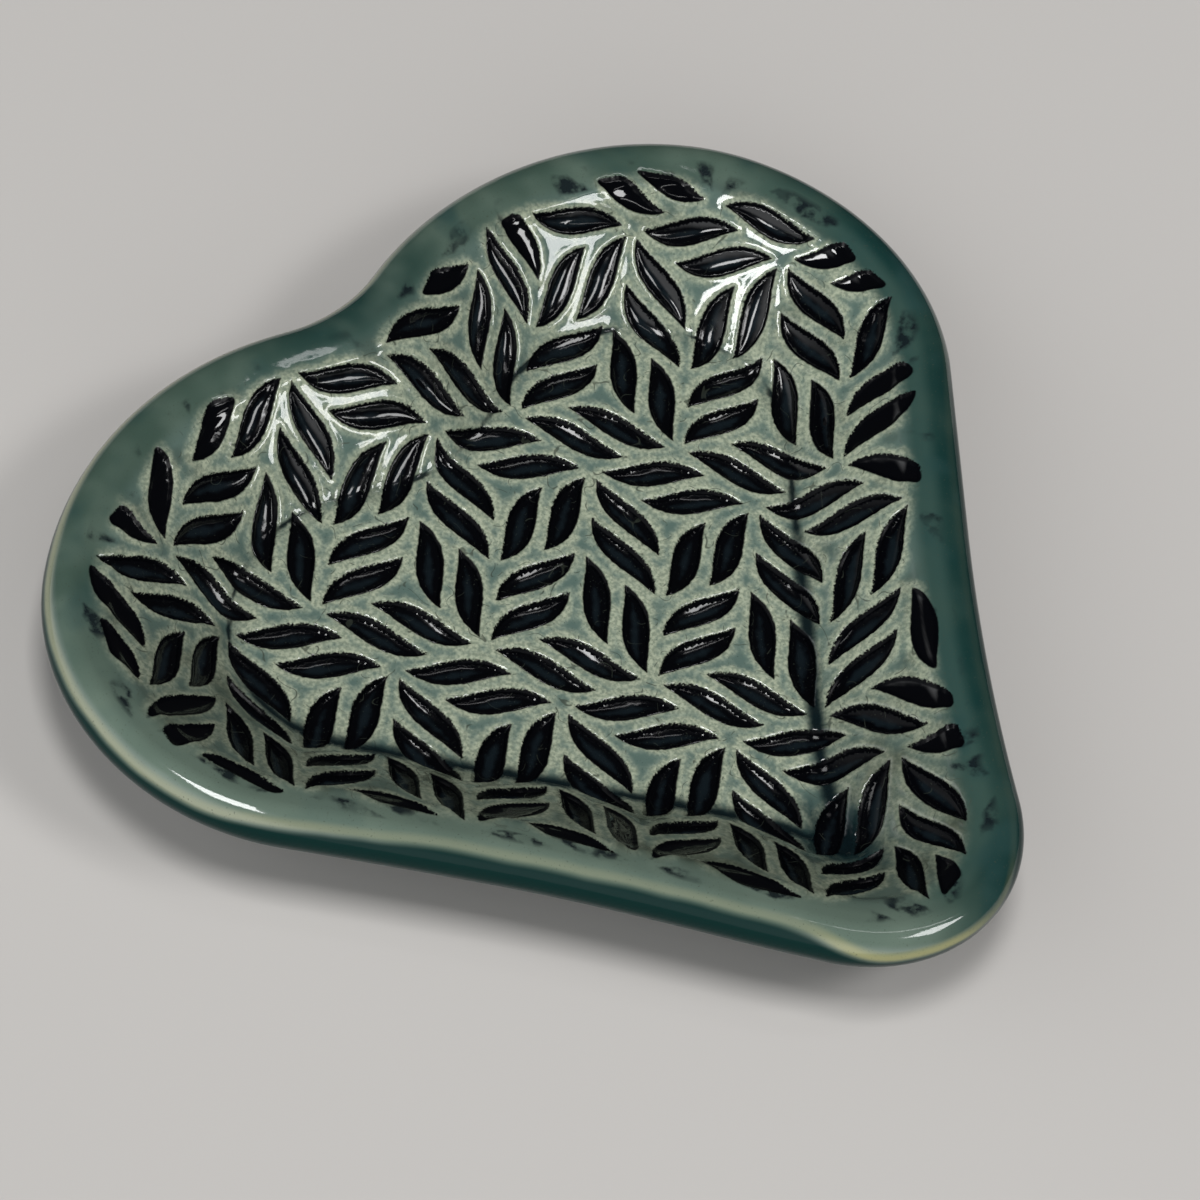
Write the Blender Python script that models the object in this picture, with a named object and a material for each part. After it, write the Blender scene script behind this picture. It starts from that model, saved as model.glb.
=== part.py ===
"""A heart-shaped ceramic dish, hand-built from one slab of clay.

The slab is drawn flat, with its stamped leaves, and is then draped: it stays flat inside the crease
and climbs the flared wall beyond it, to a rounded rim. Black slip fills the leaves nearest the middle.
Run it in Blender 4.5. Metres, +Z up, the heart's tip towards -Y, origin under the dish's middle.
"""
import math

import bpy
import numpy as np
from mathutils.geometry import delaunay_2d_cdt

# The slab and its wall
SLAB_THICKNESS = 0.0064
RIM_HEIGHT = 0.0169
WALL_FOOT_SLOPE = math.radians(34)
WALL_LIP_SLOPE = math.radians(14)
PLAIN_BAND = 0.0024  # from the last leaves to the turn of the rim

# The crease round the flat floor: arcs from the notch to the tip, each with its radius and turn
CREASE_NOTCH_RADIUS = 0.0283
CREASE_NOTCH_TURN = math.radians(25.6)
CREASE_TOP_RADIUS = 0.0247
CREASE_TOP_TURN = math.radians(69.4)
CREASE_SHOULDER_RADIUS = 0.0162
CREASE_SHOULDER_TURN = math.radians(87.4)
CREASE_HOLLOW_RADIUS = 0.0438
CREASE_HOLLOW_TURN = math.radians(19.1)
CREASE_TIP_RADIUS = 0.0010

# The rim's outer edge: the same arcs, with its notch set back from the crease's notch
RIM_NOTCH_SETBACK = 0.0229
RIM_NOTCH_RADIUS = 0.0277
RIM_NOTCH_TURN = math.radians(17.8)
RIM_TOP_RADIUS = 0.0526
RIM_TOP_TURN = math.radians(57.6)
RIM_SHOULDER_RADIUS = 0.0328
RIM_SHOULDER_TURN = math.radians(92.3)
RIM_HOLLOW_RADIUS = 0.2914
RIM_HOLLOW_TURN = math.radians(8.1)
RIM_TIP_RADIUS = 0.0219

# The leaf stamp: six leaves round each centre, in three pairs, and rows of centres that alternate
# between one hand and the other
STAMP_PITCH = 0.0219
STAMP_ACROSS = 0.0176  # one centre's place from the crease's notch
STAMP_DOWN = 0.0247
STAMP_TURN = math.radians(39.35)
LEAF_LENGTH = 0.0135
LEAF_WIDTH = 0.0036
LEAF_LEAN = math.radians(77.5)
LEAF_TWIST_SHARE = 0.72
LEAF_DEPTH = 0.0013
LEAF_DRAFT = 0.0005
LEAST_LEAF_SHARE = 0.35  # a leaf cut shorter than this by the plain band is left out

# The slip filling of a leaf
SLIP_THICKNESS = 0.0005
SEAT_GAP = 0.0003
MOST_FILLINGS = 59

# How finely the shapes are drawn
STRETCH_STEPS = (3, 8, 12, 7, 3, 5)
WALL_STEPS = 8
UNDERSIDE_STEPS = 4
RIM_STEPS = 6
LEAF_STEPS = 6
CURVE_SAMPLES = 64
HANDLE_SHARE = 0.36
RIM_FINENESS = 8
SMOOTH_ANGLE = math.radians(35)
HAIR = 0.000002  # closer than this counts as on the crease

RIM_RADIUS = SLAB_THICKNESS / 2

GLAZE_COLOUR = (0.16, 0.24, 0.20, 1.0)
SLIP_COLOUR = (0.012, 0.013, 0.018, 1.0)


def clear_scene():
    for old in list(bpy.data.objects):
        bpy.data.objects.remove(old)


def heading(angle):
    return np.array([math.cos(angle), math.sin(angle)])


def arc_points(start, way, radius, turn, steps):
    """Points of an arc that leaves start along way; a positive turn bends left. Its end comes last."""
    side = math.copysign(radius, turn)
    centre = start + side * heading(way + math.pi / 2)
    bends = way + turn * np.arange(1, steps + 1) / steps
    spokes = np.stack([np.sin(bends), -np.cos(bends)], axis=1)
    return centre + side * spokes


def half_heart(notch_y, notch, top, shoulder, hollow, tip_radius, fineness):
    """Half of a heart's outline, clockwise from its notch to its tip, as arcs and one straight side.

    Each of notch, top, shoulder and hollow is (radius, turn). The straight side, between shoulder and
    hollow, has the length that brings the tip onto the axis.
    """
    steps = [count * fineness for count in STRETCH_STEPS]
    points = [np.array([[0.0, notch_y]])]
    way = 0.0
    for (radius, turn), count in zip((notch, top, shoulder), steps):
        points.append(arc_points(points[-1][-1], way, radius, turn, count))
        way += turn
    corner = points[-1][-1]
    side_way = way
    hollow_end = way + hollow[1]
    nothing = np.zeros(2)
    hollow_arc = arc_points(nothing, side_way, *hollow, steps[4])
    tip_arc = arc_points(nothing, hollow_end, tip_radius, -math.pi - hollow_end, steps[5])
    reach = corner[0] + hollow_arc[-1][0] + tip_arc[-1][0]
    length = -reach / math.cos(side_way)
    stations = np.arange(1, steps[3] + 1)[:, None] / steps[3]
    side = corner + stations * length * heading(side_way)
    points += [side, side[-1] + hollow_arc, side[-1] + hollow_arc[-1] + tip_arc]
    return np.vstack(points)


def whole_heart(half):
    """The closed outline, clockwise from the notch, with the tip at half its length."""
    half[0, 0] = half[-1, 0] = 0.0
    return np.vstack([half, (half * [-1, 1])[-2:0:-1]])


def crease_outline():
    return whole_heart(
        half_heart(
            0.0,
            (CREASE_NOTCH_RADIUS, CREASE_NOTCH_TURN),
            (CREASE_TOP_RADIUS, -CREASE_TOP_TURN),
            (CREASE_SHOULDER_RADIUS, -CREASE_SHOULDER_TURN),
            (CREASE_HOLLOW_RADIUS, CREASE_HOLLOW_TURN),
            CREASE_TIP_RADIUS,
            1,
        )
    )


def rim_outline():
    return whole_heart(
        half_heart(
            RIM_NOTCH_SETBACK,
            (RIM_NOTCH_RADIUS, RIM_NOTCH_TURN),
            (RIM_TOP_RADIUS, -RIM_TOP_TURN),
            (RIM_SHOULDER_RADIUS, -RIM_SHOULDER_TURN),
            (RIM_HOLLOW_RADIUS, RIM_HOLLOW_TURN),
            RIM_TIP_RADIUS,
            RIM_FINENESS,
        )
    )


def spoke_ways():
    """The heading of each spoke. Stretch for stretch, the spokes turn as the rim does."""
    turns = [RIM_NOTCH_TURN, -RIM_TOP_TURN, -RIM_SHOULDER_TURN, 0.0, RIM_HOLLOW_TURN]
    turns.append(-math.pi - sum(turns))
    ways = [math.pi / 2]
    for turn, count in zip(turns, STRETCH_STEPS):
        ways += [ways[-1] + turn * step / count for step in range(1, count + 1)]
    return ways + [math.pi - way for way in ways[-2:0:-1]]


def reach_of(starts, ways, outline):
    """How far each ray runs from its start to a closed outline."""
    rays = np.array([heading(way) for way in ways])
    toward = outline[None, :, :] - starts[:, None, :]
    off = rays[:, :1] * toward[:, :, 1] - rays[:, 1:] * toward[:, :, 0]
    along = (toward * rays[:, None, :]).sum(axis=2)
    off_next, along_next = np.roll(off, -1, axis=1), np.roll(along, -1, axis=1)
    crosses = (off * off_next <= 0) & (off != off_next)
    share = off / np.where(crosses, off - off_next, 1.0)
    distance = along + share * (along_next - along)
    return rays, np.where(crosses & (distance > 0), distance, np.inf).min(axis=1)


def wall_profile(run):
    """The wall's inner face on one spoke: (out, up, slope) at even steps of its length, and its length.

    It leaves the crease at the foot slope and meets the rim's round edge at the lip slope.
    """
    foot = np.array([0.0, SLAB_THICKNESS])
    rim_centre = np.array([run - RIM_RADIUS, RIM_HEIGHT - RIM_RADIUS])
    lip = rim_centre + RIM_RADIUS * heading(WALL_LIP_SLOPE + math.pi / 2)
    handle = HANDLE_SHARE * np.linalg.norm(lip - foot)
    bend = foot + handle * heading(WALL_FOOT_SLOPE)
    ease = lip - handle * heading(WALL_LIP_SLOPE)
    t = np.linspace(0.0, 1.0, CURVE_SAMPLES + 1)[:, None]
    curve = foot * (1 - t) ** 3 + 3 * bend * t * (1 - t) ** 2 + 3 * ease * t**2 * (1 - t) + lip * t**3
    chord = np.diff(curve, axis=0)
    walked = np.concatenate([[0.0], np.cumsum(np.linalg.norm(chord, axis=1))])
    even = np.linspace(0.0, walked[-1], WALL_STEPS + 1)
    out = np.interp(even, walked, curve[:, 0])
    up = np.interp(even, walked, curve[:, 1])
    middle = (walked[1:] + walked[:-1]) / 2
    slope = np.interp(even, middle, np.arctan2(chord[:, 1], chord[:, 0]))
    slope[0], slope[-1] = WALL_FOOT_SLOPE, WALL_LIP_SLOPE
    return out, up, slope, walked[-1]


class Drape:
    """Carries points of the flat slab onto the formed dish.

    Spokes join the crease to the rim. Flat, a spoke's point lies as far from the crease as the wall's
    face has run there. Formed, it has climbed the wall's profile.
    """

    def __init__(self):
        self.crease = crease_outline()
        self.out, self.run = reach_of(self.crease, spoke_ways(), rim_outline())
        rim = self.crease + self.out * self.run[:, None]
        self.middle = (rim[:, 1].max() + rim[:, 1].min()) / 2
        profiles = [wall_profile(run) for run in self.run]
        self.length = np.array([profile[3] for profile in profiles])
        self.reach = np.array([profile[0] for profile in profiles])
        self.rise = np.array([profile[1] for profile in profiles])
        self.slope = np.array([profile[2] for profile in profiles])
        self.count = len(self.crease)

    def place(self, spoke, out, up):
        """The formed point of one spoke, or of all of them, at a distance out and a height up."""
        plan = self.crease[spoke] + self.out[spoke] * np.asarray(out)[..., None]
        height = np.broadcast_to(np.asarray(up, float), plan.shape[:-1])
        return np.concatenate([plan - [0.0, self.middle], height[..., None]], axis=-1)

    def flat_ring(self, short=0.0):
        """The slab's flat outline where the wall ends, drawn in by short."""
        return self.crease + self.out * (self.length - short)[:, None]

    def wall_length(self, spoke):
        """How far the wall's face runs from the crease, read between two spokes."""
        first = spoke.astype(int) % self.count
        across = spoke % 1
        return self.length[first] * (1 - across) + self.length[(first + 1) % self.count] * across

    def locate(self, points):
        """Each flat point's spoke, as a fractional number, and its distance past the crease."""
        toward = points[:, None, :] - self.crease
        turn = self.out[:, 0] * toward[:, :, 1] - self.out[:, 1] * toward[:, :, 0]
        ahead = (toward * self.out).sum(axis=2)
        after = np.roll(turn, -1, axis=1)
        between = (turn <= 0) & (after > 0) & (ahead > -self.length)
        nearness = np.where(between, np.abs(ahead), np.inf)
        spoke = nearness.argmin(axis=1)
        rows = np.arange(len(points))
        lost = ~between[rows, spoke]
        share = turn[rows, spoke] / np.where(lost, 1.0, turn[rows, spoke] - after[rows, spoke])
        following = (spoke + 1) % self.count
        blend = share[:, None]
        start = self.crease[spoke] * (1 - blend) + self.crease[following] * blend
        past = np.linalg.norm(points - start, axis=1)
        past[lost] = np.inf
        past[inside_of(points, self.crease)] = 0.0
        return spoke + share, past

    def blended(self, table, spoke, step):
        """A table of spokes by steps, read between both."""
        first = spoke.astype(int) % self.count
        following = (first + 1) % self.count
        low = np.minimum(step.astype(int), WALL_STEPS - 1)
        across = (spoke % 1)[:, None]
        along = (step - low)[:, None]
        near = table[first, low] * (1 - along) + table[first, low + 1] * along
        far = table[following, low] * (1 - along) + table[following, low + 1] * along
        return near * (1 - across) + far * across

    def form(self, points, depth):
        """Flat points pressed in by depth, carried onto the formed dish."""
        spoke, past = self.locate(points)
        step = np.clip(past / self.wall_length(spoke), 0.0, 1.0) * WALL_STEPS
        everyone = np.arange(self.count)[:, None]
        face = self.place(everyone, self.reach, self.rise)
        lean = np.concatenate(
            [-self.out[:, None, :] * np.sin(self.slope)[:, :, None], np.cos(self.slope)[:, :, None]],
            axis=2,
        )
        point = self.blended(face, spoke, step)
        normal = self.blended(lean, spoke, step)
        normal /= np.linalg.norm(normal, axis=1)[:, None]
        floor = past <= 0.0
        flat = points[floor] - [0.0, self.middle]
        point[floor] = np.column_stack([flat, np.full(len(flat), SLAB_THICKNESS)])
        normal[floor] = [0.0, 0.0, 1.0]
        fold = (past > 0.0) & (past < HAIR)
        normal[fold] += [0.0, 0.0, 1.0]
        normal[fold] /= np.linalg.norm(normal[fold], axis=1)[:, None] * math.cos(WALL_FOOT_SLOPE / 2)
        return point - normal * depth[:, None]


def leaf_outline(leaf, drawn_in=0.0):
    """A leaf's closed line: two arched sides from tip to tip, their bellies shifted apart.

    The leaf is (centre, angle, hand). Drawn in, its sides come nearer to each other by that much each,
    and its tips are where they meet.
    """
    centre, angle, hand = leaf
    end = math.sqrt(1 - 2 * drawn_in / LEAF_WIDTH)
    t = -end * np.cos(np.linspace(0.0, math.pi, LEAF_STEPS + 1))
    arch = LEAF_WIDTH / 2 * (1 - t**2)
    middle = arch * hand * LEAF_TWIST_SHARE * t
    along = LEAF_LENGTH / 2 * t
    right = np.column_stack([along, middle - arch + drawn_in])
    left = np.column_stack([along, middle + arch - drawn_in])
    line = np.vstack([right, left[-2:0:-1]])
    forward, sideways = heading(angle), heading(angle + math.pi / 2)
    return centre + line[:, :1] * forward + line[:, 1:] * sideways


def stamped_leaves():
    """All the leaves that the stamp could leave, over more than the whole slab."""
    spoke_length = STAMP_PITCH / (2 * math.sqrt(3))
    notch_to_tip = RIM_SHOULDER_RADIUS + RIM_TOP_RADIUS + RIM_TIP_RADIUS
    rows = math.ceil(notch_to_tip / STAMP_PITCH) + 2
    start = np.array([STAMP_ACROSS, -STAMP_DOWN])
    along, across = heading(STAMP_TURN - math.pi / 2), heading(STAMP_TURN)
    leaves = []
    for row in range(-rows, rows + 1):
        odd = row % 2
        hand = -1 if odd else 1
        for column in range(-rows, rows + 1):
            centre = start + (column + odd / 2) * STAMP_PITCH * along
            centre = centre + row * STAMP_PITCH * math.sqrt(3) / 2 * across
            for third in range(3):
                angle = STAMP_TURN + odd * math.pi + third * 2 * math.pi / 3
                pair = centre + spoke_length * heading(angle)
                step = spoke_length / 2 * heading(angle + hand * math.pi / 3)
                for sign in (-1, 1):
                    leaves.append((pair + sign * step, angle - hand * LEAF_LEAN, hand))
    return leaves


def area(line):
    following = np.roll(line, -1, axis=0)
    return (line[:, 0] * following[:, 1] - line[:, 1] * following[:, 0]).sum() / 2


def cut_short(line, over):
    """The part of a closed line where over, a distance past a limit, isn't above zero."""
    kept = []
    for i in range(len(line)):
        before, here = over[i - 1], over[i]
        if (before > 0) != (here > 0):
            kept.append(line[i - 1] + (line[i] - line[i - 1]) * before / (before - here))
        if here <= 0:
            kept.append(line[i])
    return np.array(kept)


def trimmed_leaf(drape, leaf, drawn_in=0.0):
    """A leaf's line, ended along the plain band where it runs into it, and empty off the slab."""
    line = leaf_outline(leaf, drawn_in)
    spoke, past = drape.locate(line)
    if past.max() == np.inf:
        return line[:0]
    return cut_short(line, past - drape.wall_length(spoke) + PLAIN_BAND + drawn_in)


def slab_leaves(drape):
    """The leaves on the slab: (leaf, mouth, bottom), with the lines of its hollow's mouth and bottom."""
    leaves = []
    for leaf in stamped_leaves():
        mouth, bottom = trimmed_leaf(drape, leaf), trimmed_leaf(drape, leaf, LEAF_DRAFT)
        if len(mouth) and len(bottom) and area(mouth) > LEAST_LEAF_SHARE * area(leaf_outline(leaf)):
            leaves.append((leaf, mouth, bottom))
    return leaves


def inside_of(points, line):
    """Whether each point lies inside a closed line."""
    a, b = line, np.roll(line, -1, axis=0)
    x, y = points[:, 0, None], points[:, 1, None]
    spans = (a[:, 1] > y) != (b[:, 1] > y)
    rise = np.where(b[:, 1] == a[:, 1], 1.0, b[:, 1] - a[:, 1])
    crossing = a[:, 0] + (y - a[:, 1]) * (b[:, 0] - a[:, 0]) / rise
    return (spans & (x < crossing)).sum(axis=1) % 2 == 1


def gap_to(points, line):
    """Each point's distance from a closed line."""
    edge = np.roll(line, -1, axis=0) - line
    toward = points[:, None, :] - line
    share = np.clip((toward * edge).sum(axis=2) / (edge**2).sum(axis=1), 0.0, 1.0)
    return np.linalg.norm(toward - share[:, :, None] * edge, axis=2).min(axis=1)


def pressed_depth(points, leaves):
    """How deep the stamp presses each flat point: none at a hollow's mouth, all of it on its bottom."""
    depth = np.zeros(len(points))
    for _, mouth, bottom in leaves:
        centre = mouth.mean(axis=0)
        near = np.flatnonzero(np.linalg.norm(points - centre, axis=1) < LEAF_LENGTH)
        near = near[inside_of(points[near], mouth)]
        in_from_mouth, out_from_bottom = gap_to(points[near], mouth), gap_to(points[near], bottom)
        out_from_bottom[inside_of(points[near], bottom)] = 0.0
        share = in_from_mouth / np.maximum(in_from_mouth + out_from_bottom, HAIR)
        depth[near] = np.maximum(depth[near], LEAF_DEPTH * share)
    return depth


def flat_mesh(outline, lines):
    """The area inside a closed outline, as triangles that follow the other closed lines too.

    It gives the points, the triangles, and the numbers of the outline's own points.
    """
    loops = [outline] + lines
    points = np.vstack(loops)
    edges = []
    start = 0
    for loop in loops:
        size = len(loop)
        edges += [(start + i, start + (i + 1) % size) for i in range(size)]
        start += size
    found, _, faces, sources, _, _ = delaunay_2d_cdt(points.tolist(), edges, [], 0, HAIR / 2)
    flat = np.array([tuple(point) for point in found])
    for number, source in enumerate(sources):
        if source:
            flat[number] = points[source[0]]
    faces = np.array(faces)
    faces = faces[inside_of(flat[faces].mean(axis=1), outline)]
    used, corners = np.unique(faces, return_inverse=True)
    place = {first: number for number, source in enumerate(sources) for first in source}
    edge = np.searchsorted(used, [place[i] for i in range(len(outline))])
    return flat[used], corners.reshape(-1, 3).tolist(), edge.tolist()


def rim_and_underside(drape):
    """Rings of formed points from the wall's end round the rim and down to the base's edge."""
    everyone = np.arange(drape.count)
    centre = drape.run - RIM_RADIUS
    rings = []
    for step in range(1, RIM_STEPS + 1):
        angle = WALL_LIP_SLOPE + math.pi / 2 - math.pi * step / RIM_STEPS
        out = centre + RIM_RADIUS * math.cos(angle)
        rings.append(drape.place(everyone, out, RIM_HEIGHT - RIM_RADIUS + RIM_RADIUS * math.sin(angle)))
    for step in range(UNDERSIDE_STEPS - 1, -1, -1):
        at = step * WALL_STEPS // UNDERSIDE_STEPS
        slope = drape.slope[:, at]
        out = drape.reach[:, at] + SLAB_THICKNESS * np.sin(slope)
        up = drape.rise[:, at] - SLAB_THICKNESS * np.cos(slope)
        rings.append(drape.place(everyone, out, up))
    foot = SLAB_THICKNESS * math.tan(WALL_FOOT_SLOPE / 2)
    rings.append(drape.place(everyone, np.full(drape.count, foot), 0.0))
    return rings


def material(name, colour, roughness):
    made = bpy.data.materials.new(name)
    made.use_nodes = True
    shader = made.node_tree.nodes["Principled BSDF"]
    shader.inputs["Base Color"].default_value = colour
    shader.inputs["Roughness"].default_value = roughness
    shader.inputs["Metallic"].default_value = 0.0
    made.diffuse_color = colour
    return made


def solid(name, points, faces, finish):
    mesh = bpy.data.meshes.new(name)
    mesh.from_pydata([tuple(point) for point in points], [], [tuple(face) for face in faces])
    mesh.materials.append(finish)
    mesh.shade_smooth()
    mesh.set_sharp_from_angle(angle=SMOOTH_ANGLE)
    made = bpy.data.objects.new(name, mesh)
    bpy.context.scene.collection.objects.link(made)
    return made


def dish_body(drape, leaves):
    """The clay slab as one body: stamped face, rounded rim, underside and flat base."""
    lines = [line for _, mouth, bottom in leaves for line in (mouth, bottom)]
    inner_band = drape.flat_ring(PLAIN_BAND / 2)
    flat, faces, edge = flat_mesh(drape.flat_ring(), [inner_band, drape.crease] + lines)
    points = drape.form(flat, pressed_depth(flat, leaves))
    points[edge] = drape.place(np.arange(drape.count), drape.reach[:, -1], drape.rise[:, -1])
    points = [points]
    total = len(flat)
    upper = edge
    for ring in rim_and_underside(drape):
        lower = list(range(total, total + drape.count))
        points.append(ring)
        total += drape.count
        for i in range(drape.count):
            j = (i + 1) % drape.count
            faces.append([upper[i], upper[j], lower[j], lower[i]])
        upper = lower
    faces.append(upper)
    return solid("dish_body", np.vstack(points), faces, material("celadon_glaze", GLAZE_COLOUR, 0.12))


def leaf_filling(name, drape, leaf, finish):
    """The slip in one leaf: a skin that follows the slab over the hollow's bottom, clear of it all round."""
    side = LEAF_DRAFT * (1 - SEAT_GAP / LEAF_DEPTH) + SEAT_GAP
    flat, top_faces, _ = flat_mesh(trimmed_leaf(drape, leaf, side), [drape.crease])
    size = len(flat)
    bottom = drape.form(flat, np.full(size, LEAF_DEPTH - SEAT_GAP))
    top = drape.form(flat, np.full(size, LEAF_DEPTH - SEAT_GAP - SLIP_THICKNESS))
    faces = [[size + corner for corner in face] for face in top_faces]
    faces += [face[::-1] for face in top_faces]
    steps = {(face[i - 1], face[i]) for face in top_faces for i in range(3)}
    for a, b in sorted(steps):
        if (b, a) not in steps:
            faces.append([a, b, size + b, size + a])
    return solid(name, np.vstack([bottom, top]), faces, finish)


def leaf_fillings(drape, leaves):
    """Fillings for the leaves nearest the floor's middle, nearest first."""
    middle = drape.crease.mean(axis=0)
    nearest = sorted((leaf for leaf, _, _ in leaves), key=lambda leaf: np.linalg.norm(leaf[0] - middle))
    finish = material("black_slip", SLIP_COLOUR, 0.18)
    for number, leaf in enumerate(nearest[:MOST_FILLINGS], start=1):
        leaf_filling(f"leaf_inlay_{number:02d}", drape, leaf, finish)


def main():
    clear_scene()
    drape = Drape()
    leaves = slab_leaves(drape)
    dish_body(drape, leaves)
    leaf_fillings(drape, leaves)


main()
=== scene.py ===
"""The looks of the heart-shaped dish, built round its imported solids.

The slab is drawn flat with its stamped leaves and draped by the formulas of the part's own source,
only finer: the leaves get ridged edges and rounded hollows, the crease its groove, the clay its waves.
Black slip lies in the leaves, and a sea-green glaze covers all but the base.
"""

import math

import bpy
import numpy as np
from mathutils import Matrix, Vector, noise
from mathutils.geometry import delaunay_2d_cdt
from mathutils.kdtree import KDTree


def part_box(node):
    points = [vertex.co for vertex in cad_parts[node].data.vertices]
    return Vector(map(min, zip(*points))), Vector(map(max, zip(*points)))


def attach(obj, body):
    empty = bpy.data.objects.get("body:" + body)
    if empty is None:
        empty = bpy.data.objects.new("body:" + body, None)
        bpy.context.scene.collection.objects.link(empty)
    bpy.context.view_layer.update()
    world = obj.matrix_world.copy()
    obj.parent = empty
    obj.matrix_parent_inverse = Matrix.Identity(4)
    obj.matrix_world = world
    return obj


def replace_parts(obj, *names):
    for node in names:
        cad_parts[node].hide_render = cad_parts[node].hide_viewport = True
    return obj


# The slab, its outlines and its stamp, in metres and radians as in the part's source
SLAB_THICKNESS = 0.0064
RIM_HEIGHT = 0.0169
RIM_RADIUS = SLAB_THICKNESS / 2
WALL_FOOT_SLOPE = math.radians(34)
WALL_LIP_SLOPE = math.radians(14)
HANDLE_SHARE = 0.36
PLAIN_BAND = 0.0024
PLAN_MIDDLE = -0.03398  # of the whole dish, from the crease's notch
STRETCH_STEPS = (3, 8, 12, 7, 3, 5)
CREASE_NOTCH_Y = 0.0
CREASE_ARCS = (
    (0.0283, math.radians(25.6)),
    (0.0247, -math.radians(69.4)),
    (0.0162, -math.radians(87.4)),
    (0.0438, math.radians(19.1)),
)
CREASE_TIP_RADIUS = 0.0010
RIM_NOTCH_Y = 0.0229
RIM_ARCS = (
    (0.0277, math.radians(17.8)),
    (0.0526, -math.radians(57.6)),
    (0.0328, -math.radians(92.3)),
    (0.2914, math.radians(8.1)),
)
RIM_TIP_RADIUS = 0.0219
STAMP_PITCH = 0.0219
STAMP_START = (0.0176, -0.0247)
STAMP_TURN = math.radians(39.35)
STAMP_ROWS = 8
LEAF_LENGTH = 0.0135
LEAF_WIDTH = 0.0036
LEAF_LEAN = math.radians(77.5)
LEAF_TWIST_SHARE = 0.72
LEAST_LEAF_SHARE = 0.35

# The mesh, finer than the solids
SPOKES_PER_STEP = 4
RIM_LINE_FINENESS = 8  # points of the rim's line to a spoke
WALL_STEPS = 24
RIM_STEPS = 20
UNDERSIDE_STEPS = 10
CURVE_SAMPLES = 96
LEAF_STATIONS = 28
GRAIN = 0.00037  # the mesh's spacing between the leaves
SLIP_GRAIN = 0.00030
DEEP_GRAIN = 0.0009  # under the slip
DEEP_RING = 0.00062  # and a ring of points this far in from a leaf's edge
DEEP_CLEAR = 1.7 * DEEP_RING
BASE_GRAIN = 0.003
CLEAR_OF_LINES = 0.0002  # a fold's point this near to a line is left out
CLEAR_SHARE = 0.55  # of the spacing, the same for other points
CHUNK = 4000  # points worked on at once
HAIR = 0.000002  # as good as nothing
MILLIMETRE = 0.001
FAR = 0.004  # beyond this, no leaf counts as near

# The relief of the visible surface
HOLLOW_DEPTH = 0.00125  # of the leaves, under the slip
LEAF_SIDE_DROP = 0.00048  # from a leaf's mouth down its steep side to the slip
SIDE_START_SHARE = 0.3  # of the slip's edge: the side's curve starts so far outside, so it is steep
SLIP_BOWL = 0.00037  # from the slip's edge down to its middle, on the floor
WALL_BOWL = 0.00014  # and so much more on the wall
WALL_BOWL_SPAN = (-0.002, 0.004)  # past the crease
SLIP_EDGE = 0.00030  # the slip starts this far in from a leaf's edge
SLIP_THICKNESS = 0.00025
SHOULDER_DROP = 0.00012
SHOULDER_WIDTH = 0.00034
RIDGE_HEIGHT = 0.00003
RIDGE_PLACE = 0.00060
RIDGE_SPREAD = 0.00042
POOL_DEPTH = 0.00005
POOL_SPAN = (0.0007, 0.0016)
CALM_WIDTH = 1.6 * PLAIN_BAND  # over which the relief dies down toward the wall's end
CUT_LEAF_SHARE = 0.35  # a leaf cut by the plain band is pressed in only this much
CUT_SWING = 0.0022
CUT_SWING_SIZE = 0.0035
CUT_ROUNDING = 0.0011  # how far round a cut's corners the line is smoothed
CUT_REACH = 3 * CUT_ROUNDING  # the smoothing ends this far from the cut
CUT_SPACING = 0.00028
BAND_REACH = 0.008  # prints are looked for this far in from the wall's end
FOLD_EASE = 0.0012
FOLD_ROWS = np.linspace(-FOLD_EASE, FOLD_EASE, 9)
GROOVE_DEPTH = 0.00006
GROOVE_SPREAD = 0.00050
BULGE_HEIGHT = 0.00032  # of the band that a finger smoothed, where it meets the stamp
BULGE_PLACE = 0.0040
BULGE_SPREAD = 0.0009
WAVES = ((0.014, 0.00010), (0.0045, 0.00005))  # the hand-made unevenness: (size, height)
SLIP_WAVES = ((0.008, 0.00026), (0.0030, 0.00010))
RIM_SWELLS = ((42, 14, 0.0012), (184, 16, 0.0010))  # where the rim was pulled out: (spoke, spread, way)
EDGE_RAGGED = 0.00003
DRAG = np.array([0.588, 0.809])  # the lips of the leaves on this side are torn a little
DRAG_SPAN = (0.15, 0.7)

# Colours, linear
KHAKI = (0.400, 0.440, 0.325, 1.0)
KHAKI_DARK = (0.215, 0.255, 0.190, 1.0)
SAGE = (0.235, 0.290, 0.230, 1.0)
SAGE_DARK = (0.150, 0.200, 0.160, 1.0)
POOL = (0.098, 0.150, 0.130, 1.0)
BAND = (0.048, 0.082, 0.064, 1.0)
BAND_DEEP = (0.008, 0.034, 0.031, 1.0)
BAND_BLUE = (0.020, 0.055, 0.053, 1.0)
BAND_TEAL = (0.029, 0.065, 0.057, 1.0)
CREST = (0.240, 0.255, 0.165, 1.0)
CREST_TIP = (0.310, 0.300, 0.125, 1.0)
DEEP = (0.0012, 0.019, 0.017, 1.0)
# Thicker glaze on the wall, darkened further as painted shade
WALL_GLAZE_AND_SHADE = (0.035, 0.045, 0.032, 1.0)
# Glaze pooled in the crease, and painted shade there
CREASE_POOL_AND_SHADE = (0.008, 0.030, 0.033, 1.0)
CREASE_SHADE_DARK = (0.0025, 0.0070, 0.0090, 1.0)
INK = (0.0012, 0.0014, 0.0022, 1.0)
INK_POOL = (0.006, 0.010, 0.013, 1.0)
SPECK = (0.05, 0.06, 0.045, 1.0)
CLAY = (0.52, 0.43, 0.31, 1.0)
CLAY_DARK = (0.36, 0.27, 0.18, 1.0)
FLOOR = (0.53, 0.51, 0.49, 1.0)
ROOM = (0.97, 0.99, 1.0, 1.0)

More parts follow.
